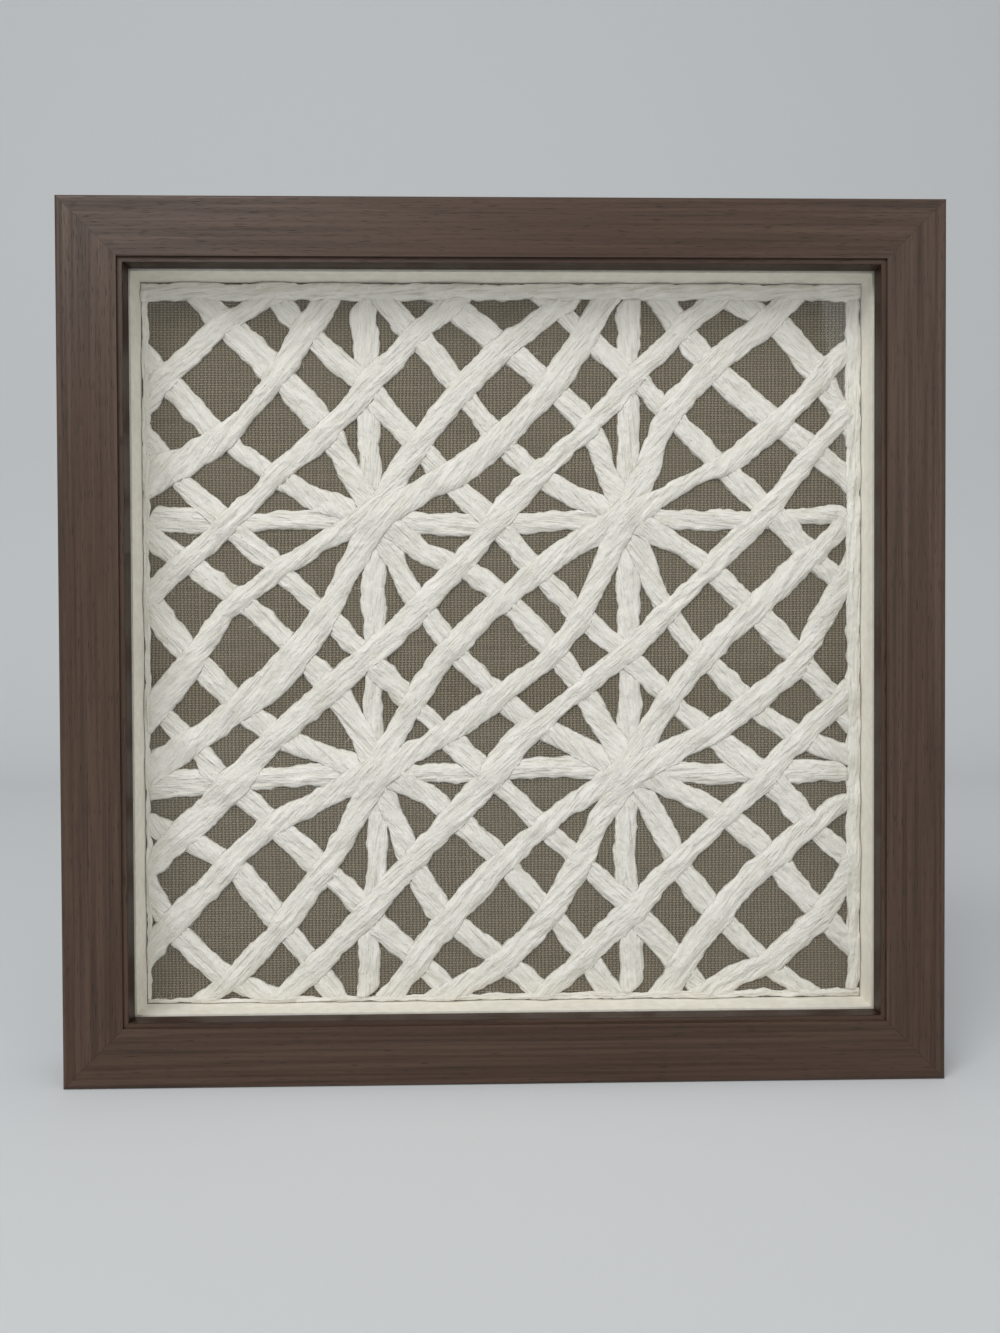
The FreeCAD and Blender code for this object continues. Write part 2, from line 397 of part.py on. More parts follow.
def with_hub_stations(route, hubs):
    """The route with a station added wherever it crosses a circle round one of its stars."""
    stations = [route[0]]
    for start, end in zip(route, route[1:]):
        shares = []
        for (hub_x, hub_z), _ in hubs:
            for radius in (HUB_TOP, HUB_FOOT):
                dx, dz = end[0] - start[0], end[1] - start[1]
                ox, oz = start[0] - hub_x, start[1] - hub_z
                a = dx * dx + dz * dz
                b = 2 * (ox * dx + oz * dz)
                inside = b * b - 4 * a * (ox * ox + oz * oz - radius * radius)
                if inside <= 0:
                    continue
                for sign in (-1, 1):
                    share = (-b + sign * math.sqrt(inside)) / (2 * a)
                    if 0.03 < share < 0.97:
                        shares.append(share)
        for share in sorted(shares):
            stations.append(tuple(p + (q - p) * share for p, q in zip(start, end)))
        stations.append(end)
    return stations


def level_at(x, z, base, hubs):
    """How many strip thicknesses lie under a strip at a point of its route."""
    level = base
    for (hub_x, hub_z), place_in_stack in hubs:
        radius = math.hypot(x - hub_x, z - hub_z)
        share = (HUB_FOOT - radius) / (HUB_FOOT - HUB_TOP)
        level = max(level, base + (place_in_stack - base) * min(1.0, max(0.0, share)))
    return level


def paper_strip(kind, index, route):
    """A long flattened strip of folded paper that climbs over what it crosses."""
    hubs = hubs_on((kind, index))
    stations = with_hub_stations(route, hubs)
    scale_x, scale_z = SIGHT_W / ROUTE_SPAN, SIGHT_H / ROUTE_SPAN
    sections = []
    for at, (x, z, width) in enumerate(stations):
        before = stations[max(0, at - 1)]
        after = stations[min(len(stations) - 1, at + 1)]
        dx, dz = (after[0] - before[0]) * scale_x, (after[1] - before[1]) * scale_z
        length = math.hypot(dx, dz)
        side_x, side_z = -dz / length, dx / length
        under = LINEN_FRONT - PAPER_T * level_at(x, z, BASE_LEVEL[kind], hubs)
        section = []
        for reach, depth in ((-width / 2, under), (width / 2, under),
                             (width / 2 - PAPER_BEVEL, under - PAPER_T),
                             (PAPER_BEVEL - width / 2, under - PAPER_T)):
            section.append(place(x * scale_x + side_x * reach, depth, z * scale_z + side_z * reach))
        sections.append(section)
    faces = facet(sections[0]) + facet(sections[-1][::-1])
    for near, far in zip(sections, sections[1:]):
        for corner in range(4):
            beside = (corner + 1) % 4
            faces += facet([near[corner], far[corner], far[beside], near[beside]])
    return solid_of(faces).common(paper_window())


def paper_window():
    """The space between the spacer walls, a little clear of them."""
    return slab(SIGHT_W - 2 * PAPER_GAP, SIGHT_H - 2 * PAPER_GAP, SPACER_FRONT, SPACER_DEPTH)


def border_strips():
    """Flat strips along the four edges; the side ones end against the top and bottom ones."""
    strips = {}
    for side in ("top", "bottom", "left", "right"):
        opening, sight_edge = side_sizes(side)
        half = opening / 2 - PAPER_GAP
        edge = sight_edge - PAPER_GAP
        first, last = BORDER_WIDTHS[side]
        front = LINEN_FRONT - PAPER_T
        outline = [V(-half, front, edge), V(half, front, edge), V(half, front, edge - last),
                   V(-half, front, edge - first)]
        plate = Part.Face(Part.makePolygon(outline + outline[:1])).extrude(V(0, PAPER_T, 0))
        strips[side] = turned(plate, side)
    for side in ("left", "right"):
        strips[side] = strips[side].cut(strips["top"]).cut(strips["bottom"])
    return strips


def save(name, shapes):
    solids = [solid for shape in shapes for solid in shape.Solids]
    whole = solids[0] if len(solids) == 1 else Part.makeCompound(solids)
    whole.exportStep("parts/" + name + ".step")
    print(name, len(solids), round(sum(solid.Volume for solid in solids), 2))


def main():
    os.makedirs("parts", exist_ok=True)
    all_tabs = [tab for side in SIDES for tab in tabs(side)]
    wedges = v_nails()
    nails = hanger_nails()
    for side in SIDES:
        moulding = rail(side)
        for metal in all_tabs + wedges + nails:
            moulding = moulding.cut(metal)
        save("frame_rail_" + side, [moulding])
        save("spacer_" + side, [spacer(side)])
    save("glass_pane", [slab(PANE_W, PANE_H, GLASS_FRONT, GLASS_T)])
    save("linen_backing", [slab(PANE_W, PANE_H, LINEN_FRONT, LINEN_T)])
    save("mount_board", [slab(PANE_W, PANE_H, MOUNT_FRONT, MOUNT_T)])
    save("backing_board", [slab(PANE_W, PANE_H, BACKING_FRONT, BACKING_T)])
    save("retaining_tabs", all_tabs)
    save("corner_v_nails", wedges)
    save("sawtooth_hanger", [sawtooth_hanger()])
    save("hanger_nails", nails)
    save("wall_bumpers", wall_bumpers())

    borders = border_strips()
    for side, strip in borders.items():
        save("border_strip_" + side, [strip])
    hung_between = {"upright": ("top", "bottom"), "level": ("left", "right")}
    for kind, routes in (("upright", UPRIGHTS), ("level", LEVELS)):
        for index, route in enumerate(routes):
            strip = paper_strip(kind, index, route)
            for side in hung_between[kind]:
                strip = strip.cut(borders[side])
            save("%s_strip_%02d" % (kind, index + 1), [strip])
    for kind, routes in (("falling", FALLING), ("rising", RISING)):
        for index, route in enumerate(routes):
            save("%s_strip_%02d" % (kind, index + 1), [paper_strip(kind, index, route)])


main()
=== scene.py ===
# %% [markdown]
# # A framed lattice of folded paper strips
# This script dresses a finished CAD part. The part is a square wooden frame with glass in
# front of long folded paper strips, which cross in stars over linen. The CAD pieces keep
# their places. The paper and the cloth are made again here with the folds that CAD leaves out.

# %% Load the part
import math

import bmesh
import bpy
import numpy as np
from mathutils import Euler, Matrix, Vector


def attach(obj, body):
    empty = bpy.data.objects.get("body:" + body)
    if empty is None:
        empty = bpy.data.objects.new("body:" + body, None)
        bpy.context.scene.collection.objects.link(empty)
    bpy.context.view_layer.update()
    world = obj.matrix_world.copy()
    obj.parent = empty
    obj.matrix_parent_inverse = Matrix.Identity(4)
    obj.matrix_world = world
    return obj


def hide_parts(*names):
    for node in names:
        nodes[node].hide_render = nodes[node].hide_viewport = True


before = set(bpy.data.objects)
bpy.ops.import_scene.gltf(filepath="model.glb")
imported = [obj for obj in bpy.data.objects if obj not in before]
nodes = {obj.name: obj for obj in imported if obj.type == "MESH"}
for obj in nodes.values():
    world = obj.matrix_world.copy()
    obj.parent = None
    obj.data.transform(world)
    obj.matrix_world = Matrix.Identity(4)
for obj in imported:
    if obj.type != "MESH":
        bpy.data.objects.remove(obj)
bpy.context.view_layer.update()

print("pieces in the part:", len(nodes))

# %% [markdown]
# ## Sizes and colours
# All lengths are in metres. The opening is 260 mm square and its middle is 152.5 mm up. The
# linen's face lies 4 mm behind the middle of the frame's depth. Colours are written the way
# a screen shows them, from 0 to 255, and turned into the linear numbers that light needs.

# %% Sizes and colours
MIDDLE_Z = 0.1525
HALF_OPENING = 0.130
LINEN_FACE = 0.004
WINDOW = 0.1297
DIAGONAL = math.sqrt(0.5)


def colour(red, green, blue):
    """A screen colour as linear numbers with full opacity."""
    linear = []
    for part in (red, green, blue):
        share = part / 255
        linear.append(share / 12.92 if share <= 0.04045 else ((share + 0.055) / 1.055) ** 2.4)
    return (*linear, 1.0)


print("paper white:", [round(c, 2) for c in colour(236, 235, 228)])

# %% [markdown]
# ## Sums inside a material
# A material is a tree of small nodes. This class wraps one socket of the tree, so that a
# pattern can be written as a plain sum. Each plus or times sign makes one Math node.

# %% A class for sums inside a material
class Flow:
    """A value on its way through a material's nodes."""

    def __init__(self, tree, socket=None):
        self.tree = tree
        self.socket = socket

    def feed(self, target, value):
        """Link a value to a socket, or write a plain number there."""
        if isinstance(value, Flow):
            self.tree.links.new(value.socket, target)
        else:
            target.default_value = value

    def node(self, kind, output=0, inputs=None, **settings):
        """Make any other node, and return one of its outputs."""
        made = self.tree.nodes.new("ShaderNode" + kind)
        for name, value in settings.items():
            setattr(made, name, value)
        for key, value in (inputs or {}).items():
            self.feed(made.inputs[key], value)
        return Flow(self.tree, made.outputs[output])

    def maths(self, operation, *values):
        return self.node("Math", inputs=dict(enumerate(values)), operation=operation)

    def mix(self, factor, low, high):
        """A colour between two colours."""
        return self.node("Mix", output=2, inputs={0: factor, 6: low, 7: high}, data_type="RGBA")

    def noise(self, vector, scale, detail=2.0):
        """Soft random values from 0 to 1 along a stretched vector."""
        stretched = self.node("VectorMath", inputs={0: vector, 1: scale}, operation="MULTIPLY")
        return self.node("TexNoise", inputs={"Vector": stretched, "Scale": 1.0, "Detail": detail})

    def ramp(self, low, high):
        """0 below low, 1 above high and an even slope between."""
        return self.node("MapRange", inputs={0: self, 1: low, 2: high}, clamp=True)

    def bump(self, height, distance, strength=1.0):
        inputs = {"Height": height, "Distance": distance, "Strength": strength}
        return self.node("Bump", inputs=inputs)

    def __add__(self, other):
        return self.maths("ADD", self, other)

    def __sub__(self, other):
        return self.maths("SUBTRACT", self, other)

    def __rsub__(self, other):
        return self.maths("SUBTRACT", other, self)

    def __mul__(self, other):
        return self.maths("MULTIPLY", self, other)

    def __truediv__(self, other):
        return self.maths("DIVIDE", self, other)

    __radd__ = __add__
    __rmul__ = __mul__


def new_material(name, roughness, metallic=0.0):
    """An empty material, with its shader and a start for sums."""
    material = bpy.data.materials.new(name)
    material.use_nodes = True
    shader = material.node_tree.nodes["Principled BSDF"]
    shader.inputs["Roughness"].default_value = roughness
    shader.inputs["Metallic"].default_value = metallic
    return material, shader, Flow(material.node_tree)


def object_place(flow):
    """The place on the object, whole and as three numbers."""
    place = flow.node("TexCoord", output=3)
    parts = [flow.node("SeparateXYZ", output=axis, inputs={0: place}) for axis in range(3)]
    return place, parts


print("Flow is ready")

# %% [markdown]
# ## Wood wrap
# The rails have a satin brown finish with fine dark grain lines and short pores. Grain runs
# along each rail, so the upright rails and the level rails need one material each. The inner
# wall beside the glass is painted darker, which is painted shade in the recess. The hair line
# where two rails meet at a mitre is darker too.

# %% Wood materials
def wood(name, level):
    material, shader, flow = new_material(name, 0.42)
    shader.inputs["Specular IOR Level"].default_value = 0.3
    place, (x, y, z) = object_place(flow)
    along = (14.0, 900.0, 900.0) if level else (900.0, 900.0, 14.0)
    short = (160.0, 3000.0, 3000.0) if level else (3000.0, 3000.0, 160.0)
    wide = (5.0, 160.0, 160.0) if level else (160.0, 160.0, 5.0)
    fine = flow.noise(place, along, 4.0)
    pores = flow.noise(place, short, 1.0).ramp(0.60, 0.72)
    bands = flow.noise(place, wide, 2.0)
    lines = fine.ramp(0.30, 0.66)
    brown = flow.mix(lines, colour(55, 40, 31), colour(82, 64, 52))
    brown = flow.mix(bands.ramp(0.35, 0.7) * 0.45, brown, colour(64, 45, 33))
    brown = flow.mix(pores * 0.75, brown, colour(32, 20, 14))
    from_side = flow.maths("ABSOLUTE", x)
    from_level = flow.maths("ABSOLUTE", z - MIDDLE_Z)
    reach = flow.maths("MAXIMUM", from_side, from_level)
    mitre = flow.maths("ABSOLUTE", from_side - from_level)
    brown = flow.mix(mitre.ramp(0.00022, 0.00008) * 0.6, brown, colour(40, 27, 21))
    # painted shade: the inner wall beside the glass is painted dark, as if it lay in the shadow of the
    # lip
    brown = flow.mix(reach.ramp(HALF_OPENING + 0.0004, HALF_OPENING + 0.0001), brown, colour(50, 32, 22))
    flow.feed(shader.inputs["Base Color"], brown)
    flow.feed(shader.inputs["Roughness"], 0.50 - lines * 0.12)
    relief = fine * 0.5 - pores
    flow.feed(shader.inputs["Normal"], flow.bump(relief, 0.00012, 0.5))
    return material


wood_level = wood("wood_level", True)
wood_upright = wood("wood_upright", False)
print("wood materials made")

# %% [markdown]
# ## Glass, boards, metal and pads
# The glass lets light straight through and adds a little gloss at a slant. The boards,
# the steel, the brassed hanger and the pads on the back have quiet patterns of their own.

# %% Glass, boards, metal and pads
def clear_glass():
    material, shader, flow = new_material("clear_glass", 0.03)
    gloss = flow.node("BsdfGlossy", inputs={"Roughness": 0.03, "Color": (1, 1, 1, 1)})
    through = flow.node("BsdfTransparent", inputs={"Color": (0.985, 0.985, 0.98, 1)})
    slant = flow.node("LayerWeight", output=1, inputs={"Blend": 0.5})
    share = flow.maths("POWER", slant, 4.0) * 0.5 + 0.02
    mixed = flow.node("MixShader", inputs={0: share, 1: through, 2: gloss})
    flow.feed(material.node_tree.nodes["Material Output"].inputs["Surface"], mixed)
    material.node_tree.nodes.remove(shader)
    return material


def speckled(name, low, high, scale, roughness, depth=0.0, metallic=0.0):
    """A plain material whose colour varies softly between two colours."""
    material, shader, flow = new_material(name, roughness, metallic)
    place, _ = object_place(flow)
    grain = flow.noise(place, scale, 4.0)
    flow.feed(shader.inputs["Base Color"], flow.mix(grain.ramp(0.35, 0.65), low, high))
    if depth:
        flow.feed(shader.inputs["Normal"], flow.bump(grain, depth, 0.6))
    return material


glass = clear_glass()
foam_board = speckled("foam_board", colour(238, 234, 222), colour(247, 244, 235), (300.0,) * 3, 0.8)
grey_board = speckled("grey_board", colour(178, 170, 155), colour(198, 191, 177), (700.0,) * 3,
                      0.9, 0.0001)
hardboard = speckled("hardboard", colour(112, 80, 54), colour(148, 112, 79), (900.0, 200.0, 600.0),
                     0.65, 0.0001)
steel = speckled("steel", colour(150, 151, 154), colour(184, 185, 187), (90.0, 1500.0, 1500.0),
                 0.32, 0.0, 1.0)
brassed = speckled("brassed", colour(186, 152, 92), colour(214, 182, 120), (60.0, 1500.0, 1500.0),
                   0.34, 0.0, 1.0)
dark_pad = speckled("dark_pad", colour(38, 38, 39), colour(58, 58, 59), (2500.0,) * 3, 0.95, 0.0002)
small = [glass, foam_board, grey_board, hardboard, steel, brassed, dark_pad]
print("small materials made:", len(small))

# %% [markdown]
# ## Dress the CAD pieces
# These pieces keep their CAD mesh. Only their material is set.

# %% Dress the CAD pieces
DRESS = {"frame_rail_top": wood_level, "frame_rail_bottom": wood_level,
         "frame_rail_left": wood_upright, "frame_rail_right": wood_upright,
         "spacer_top": foam_board, "spacer_bottom": foam_board, "spacer_left": foam_board,
         "spacer_right": foam_board, "glass_pane": glass, "mount_board": grey_board,
         "backing_board": hardboard, "retaining_tabs": steel, "corner_v_nails": steel,
         "sawtooth_hanger": brassed, "hanger_nails": steel, "wall_bumpers": dark_pad}
for name, material in DRESS.items():
    mesh = nodes[name].data
    mesh.materials.clear()
    mesh.materials.append(material)
print("pieces dressed:", len(DRESS))

# %% [markdown]
# ## Linen
# The cloth is a plain weave. Upright threads lie 1.3 mm apart and level ones 0.9 mm apart,
# and each goes over and under the next by turns. Two waves give the roundness of the threads,
# and a third number says which of them is on top. The cloth itself bows a little between
# its edges, less than the paper is thick.

# %% Linen material
UPRIGHT_PITCH = 0.0013
LEVEL_PITCH = 0.0009


def linen_material():
    material, shader, flow = new_material("linen", 0.9)
    place, (x, y, z) = object_place(flow)
    sway = flow.noise(place, (60.0, 60.0, 60.0)) - 0.5
    across = x / UPRIGHT_PITCH + sway * 0.7
    up = z / LEVEL_PITCH + sway * 0.7
    upright = flow.maths("ABSOLUTE", flow.maths("SINE", across * math.pi))
    level = flow.maths("ABSOLUTE", flow.maths("SINE", up * math.pi))
    turn = flow.maths("SINE", across * math.pi) * flow.maths("SINE", up * math.pi)
    slub_up = flow.noise(place, (1500.0, 100.0, 60.0))
    slub_level = flow.noise(place, (60.0, 100.0, 2200.0))
    upright = upright.ramp(0.45, 1.0) * (slub_up * 1.2 + 0.35)
    level = level.ramp(0.25, 0.9) * (slub_level * 1.2 + 0.35)
    on_top = turn.ramp(-0.2, 0.2)
    height = flow.maths("MAXIMUM", upright * (0.55 + on_top * 0.45),
                        level * (1.0 - on_top * 0.45))
    # painted shade: where the weave lies low, between and under the threads, the colour is painted dark
    thread_colour_and_hollow_shade = flow.mix(height.ramp(0.15, 0.95), colour(42, 36, 27), colour(142, 132, 111))
    patches = flow.noise(place, (40.0, 40.0, 40.0)).ramp(0.3, 0.7)
    thread_colour_and_hollow_shade = flow.mix(patches * 0.25, thread_colour_and_hollow_shade, colour(112, 104, 88))
    flow.feed(shader.inputs["Base Color"], thread_colour_and_hollow_shade)
    flow.feed(shader.inputs["Normal"], flow.bump(height, 0.0003, 0.7))
    return material


linen = linen_material()
print("linen material made")

# %% Linen cloth
def new_piece(name, points, faces, material, uv=None):
    """A closed piece at the origin, whose faces are smooth and point outwards."""
    mesh = bpy.data.meshes.new(name)
    mesh.from_pydata([tuple(point) for point in points], [], faces)
    if uv is not None:
        layer = mesh.uv_layers.new(name="along_strip")
        corners = np.empty(len(mesh.loops), dtype=np.int64)
        mesh.loops.foreach_get("vertex_index", corners)
        layer.data.foreach_set("uv", uv[corners].astype(np.float32).ravel())
    shaped = bmesh.new()
    shaped.from_mesh(mesh)
    bmesh.ops.recalc_face_normals(shaped, faces=shaped.faces)
    shaped.to_mesh(mesh)
    shaped.free()
    mesh.polygons.foreach_set("use_smooth", [True] * len(mesh.polygons))
    mesh.materials.append(material)
    piece = bpy.data.objects.new(name, mesh)
    bpy.context.scene.collection.objects.link(piece)
    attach(piece, "root")
    return piece


def tube_faces(rows, ring):
    """Faces round a closed tube of rows rings, with both ends capped."""
    faces = []
    for row in range(rows - 1):
        for at in range(ring):
            beside = (at + 1) % ring
            faces.append((row * ring + at, row * ring + beside,
                          (row + 1) * ring + beside, (row + 1) * ring + at))
    faces.append(tuple(range(ring)))
    faces.append(tuple((rows - 1) * ring + at for at in reversed(range(ring))))
    return faces


CLOTH_SIDE = 0.271
CLOTH_BOW = 0.00012
CLOTH_BACK = 0.00055


def linen_cloth():
    steps = 90
    places = np.linspace(-CLOTH_SIDE / 2, CLOTH_SIDE / 2, steps + 1)
    points = []
    for z in places:
        for x in places:
            bow = 0.5 + 0.5 * math.sin(37 * x + 11) * math.sin(29 * z + 5)
            points.append((x, LINEN_FACE + CLOTH_BOW * bow, z + MIDDLE_Z))
        for x in reversed(places):
            points.append((x, LINEN_FACE + CLOTH_BACK, z + MIDDLE_Z))
    return points, tube_faces(steps + 1, 2 * (steps + 1))


cloth_points, cloth_faces = linen_cloth()
cloth = new_piece("linen_cloth", cloth_points, cloth_faces, linen)
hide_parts("linen_backing")
print("cloth faces:", len(cloth.data.polygons))

# %% [markdown]
# ## Paper
# The paper is soft and has long fibres. Its colour hardly changes, so most of the look comes
# from relief: fine lines along each strip, and a light crumple. The colour is a little darker
# where the folds and fibre lines lie low, which is painted shade in their hollows. The pattern
# follows the strip's own map, which holds the way along it and across it in metres.

# %% Paper material
def paper_material():
    material, shader, flow = new_material("paper", 0.82)
    strip = flow.node("UVMap", uv_map="along_strip")
    fibres = flow.noise(strip, (90.0, 1500.0, 1.0), 3.0)
    folds = flow.noise(strip, (75.0, 480.0, 1.0), 3.0)
    crumple = flow.noise(strip, (420.0, 700.0, 1.0), 3.0)
    specks = flow.noise(strip, (900.0, 1500.0, 1.0), 0.0).ramp(0.80, 0.82)
    # painted shade: the colour darkens where the folds and the fibre lines lie low in the relief
    white = flow.mix(folds.ramp(0.3, 0.7), colour(230, 227, 217), colour(246, 243, 238))
    white = flow.mix(fibres.ramp(0.25, 0.45), colour(204, 197, 183), white)
    white = flow.mix(specks * 0.5, white, colour(150, 132, 104))
    flow.feed(shader.inputs["Base Color"], white)
    relief = folds * 0.6 + fibres * 0.35 + crumple * 0.5
    flow.feed(shader.inputs["Normal"], flow.bump(relief, 0.0020, 0.9))
    return material


paper = paper_material()
print("paper material made")

# %% [markdown]
# ## Read the course of each strip
# Each CAD strip is a plain flat ribbon. It is cut across every 0.9 mm, at right angles to the
# way that its set runs. The two outermost points of a cut are the strip's edges there.
# The corners of the edges are then smoothed away.

# %% Read the course of each strip
WAYS = {"falling": (DIAGONAL, -DIAGONAL), "rising": (DIAGONAL, DIAGONAL),
        "upright": (0.0, 1.0), "level": (1.0, 0.0),
        "border_strip_top": (1.0, 0.0), "border_strip_bottom": (1.0, 0.0),
        "border_strip_left": (0.0, 1.0), "border_strip_right": (0.0, 1.0)}
PITCH = 0.0009


def way_of(name):
    return next(way for key, way in WAYS.items() if name.startswith(key))


def smooth(line, reach):
    """A running mean of a line, with its ends held."""
    window = np.hanning(2 * reach + 3)[1:-1]
    padded = np.concatenate([np.full(reach, line[0]), line, np.full(reach, line[-1])])
    return np.convolve(padded, window / window.sum(), mode="valid")


def edges_of(name):
    """Stops along a strip, and its lower and upper edge at each stop."""
    source = nodes[name]
    way_x, way_z = way_of(name)
    points = np.array([source.matrix_world @ vertex.co for vertex in source.data.vertices])
    x, z = points[:, 0], points[:, 2] - MIDDLE_Z
    along = x * way_x + z * way_z
    across = z * way_x - x * way_z
    pairs = np.array([edge.vertices[:] for edge in source.data.edges])
    start, end = along[pairs[:, 0]], along[pairs[:, 1]]
    side_start, side_end = across[pairs[:, 0]], across[pairs[:, 1]]
    count = max(8, int((along.max() - along.min()) / PITCH))
    stops = np.linspace(along.min() + 1e-5, along.max() - 1e-5, count)
    lower, upper = [], []
    for stop in stops:
        cut = (start - stop) * (end - stop) < 0
        share = (stop - start[cut]) / (end[cut] - start[cut])
        reached = side_start[cut] + share * (side_end[cut] - side_start[cut])
        lower.append(reached.min())
        upper.append(reached.max())
    return stops, smooth(np.array(lower), 4), smooth(np.array(upper), 4)


strip_names = sorted(name for name in nodes if name.split("_")[1] == "strip")
courses = {name: edges_of(name) for name in strip_names}
print("strips read:", len(courses), "cuts:", sum(len(c[0]) for c in courses.values()))

# %% [markdown]
# ## Random relief
# The folds come from smooth random numbers on a grid. The grid is stretched, so that a fold
# runs for a centimetre or two along the strip, and gives way to the next every 2 or 3 mm across.

# %% Random relief
def lattice(column, row, seed):
    """A random number from 0 to 1 at each whole place of a grid."""
    wave = np.sin(column * 127.1 + row * 311.7 + seed * 74.7) * 43758.5453
    return wave - np.floor(wave)


def relief(across, along, seed):
    """Smooth random numbers from 0 to 1 between the whole places."""
    column, row = np.floor(across), np.floor(along)
    a, b = across - column, along - row
    a, b = a * a * (3 - 2 * a), b * b * (3 - 2 * b)
    near = lattice(column, row, seed) * (1 - a) + lattice(column + 1, row, seed) * a
    far = lattice(column, row + 1, seed) * (1 - a) + lattice(column + 1, row + 1, seed) * a
    return near * (1 - b) + far * b


def creased(across, along, seed):
    """Relief with sharp ridges and soft valleys."""
    return 1 - np.abs(2 * relief(across, along, seed) - 1)


print("relief at one place:", round(float(relief(np.array([0.4]), np.array([1.7]), 3)[0]), 3))

# %% [markdown]
# ## Lay the strips
# A height map of the opening holds how high the paper stands so far. The strips are laid
# one by one. Each rests on a softened copy of the map, and its face is lifted over the paper
# under it and then lightly smoothed. Then the face is written to the map. So a strip dips to
# the linen between two crossings, and the strips pile up in the stars.

# %% Lay the strips
CELL = 0.0005
CELLS = int(2 * HALF_OPENING / CELL) + 1
ACROSS = 17
UNDER = 5

EDGE_WAVE, EDGE_WAVE_LENGTH = 0.0011, 0.0045
EDGE_FRAY, EDGE_FRAY_LENGTH = 0.0005, 0.0016
LEAST_HEIGHT = 0.0003
FOLD_HEIGHT, FOLD_WIDTH, FOLD_LENGTH = 0.0009, 0.0027, 0.017
CREASE_HEIGHT, CREASE_WIDTH, CREASE_LENGTH = 0.0005, 0.0013, 0.0075
CRUMPLE_HEIGHT, CRUMPLE_WIDTH, CRUMPLE_LENGTH = 0.0007, 0.0021, 0.0034
SWAY, SWAY_LENGTH = 0.0022, 0.009
FULL_WIDTH = 0.0055
SETTLED = 0.74
SKIN = 0.00016

height_map = np.zeros((CELLS, CELLS))


def soften(values, passes):
    for _ in range(passes):
        for axis in (0, 1):
            values = (np.roll(values, 1, axis) + 2 * values + np.roll(values, -1, axis)) / 4
    return values


def cell_of(distance):
    """The map's row or column for a distance from the middle of the opening."""
    return np.clip(np.rint((distance + HALF_OPENING) / CELL).astype(int), 0, CELLS - 1)


def read_map(values, x, z):
    return values[cell_of(z), cell_of(x)]


def write_map(x, z, heights):
    """Raise the map to a strip's face, with points put between its own."""
    for far, beside in ((0.0, 0.0), (0.5, 0.0), (0.0, 0.5), (0.5, 0.5)):
        placed = []
        for grid in (x, z, heights):
            shifted = grid[:-1, :] * (1 - far) + grid[1:, :] * far
            placed.append(shifted[:, :-1] * (1 - beside) + shifted[:, 1:] * beside)
        np.maximum.at(height_map, (cell_of(placed[1]), cell_of(placed[0])), placed[2])


def rough_edge(edge, stops, outwards, wave_seed, fray_seed):
    """An edge with long soft waves and short frays, mostly outwards."""
    wave = relief(stops / EDGE_WAVE_LENGTH, stops * 0, wave_seed) - 0.35
    fray = relief(stops / EDGE_FRAY_LENGTH, stops * 0, fray_seed) - 0.5
    return edge + outwards * (EDGE_WAVE * wave + EDGE_FRAY * fray)


def own_height(share, side, along, stops, width, twist, seed):
    """How far a strip's folded face stands above what the strip rests on, and its crown."""
    sway = SWAY * (relief(stops / SWAY_LENGTH, stops * 0, seed + 3)[:, None] - 0.5)
    folded = side + twist * along + sway
    folds = creased(folded / FOLD_WIDTH, along / FOLD_LENGTH, seed + 1)
    creases = creased(folded / CREASE_WIDTH, along / CREASE_LENGTH, seed + 2)
    crumple = relief(side / CRUMPLE_WIDTH, along / CRUMPLE_LENGTH, seed + 4)
    crown = np.clip(1 - np.abs(2 * share - 1) ** 2.6, 0, 1) ** 0.62
    fullness = np.clip(width / FULL_WIDTH, 0.15, 1.0)[:, None]
    height = (LEAST_HEIGHT + FOLD_HEIGHT * folds + CREASE_HEIGHT * creases
              + CRUMPLE_HEIGHT * crumple)
    return crown * fullness * height, crown


def draped(x, z, own, crown):
    """Heights of what a strip rests on and of its face, which covers the paper below."""
    rest = SETTLED * read_map(soften(height_map, 22), x, z)
    rest = 0.5 * rest + 0.5 * smooth(rest.mean(axis=1), 3)[:, None]
    covered = read_map(soften(height_map, 2), x, z) + SKIN * crown
    face = np.maximum(rest + own, covered)
    evened = np.stack([smooth(face[:, at], 1) for at in range(ACROSS)], axis=1)
    return rest, 0.55 * face + 0.45 * evened + 0.00006


def closed_rings(x, z, rest, face):
    """The face's points at each stop, followed by a few points back along the underside."""
    back = np.linspace(1, 0, UNDER + 2)[1:-1][None, :]
    under_x = x[:, -1:] * back + x[:, :1] * (1 - back)
    under_z = z[:, -1:] * back + z[:, :1] * (1 - back)
    low = np.clip(rest.min(axis=1)[:, None] - 0.0001, 0.00002, None)
    low = np.minimum(low, face.min(axis=1)[:, None] - 0.00003)
    height = np.concatenate([face, np.repeat(low, UNDER, axis=1)], axis=1)
    ring_x = np.concatenate([x, under_x], axis=1)
    ring_z = np.concatenate([z, under_z], axis=1)
    return np.stack([ring_x, LINEN_FACE - height, ring_z + MIDDLE_Z], axis=2).reshape(-1, 3)


def strip_map(stops, side, twist, number):
    """The strip's own map: the way along it and across it, apart from the other strips'."""
    ring_side = np.concatenate([side, np.repeat(side[:, -1:], UNDER, axis=1)], axis=1)
    ring_along = np.repeat(stops[:, None], ACROSS + UNDER, axis=1)
    both = np.stack([ring_along + 0.41 * number, ring_side + twist * ring_along], axis=2)
    return both.reshape(-1, 2)


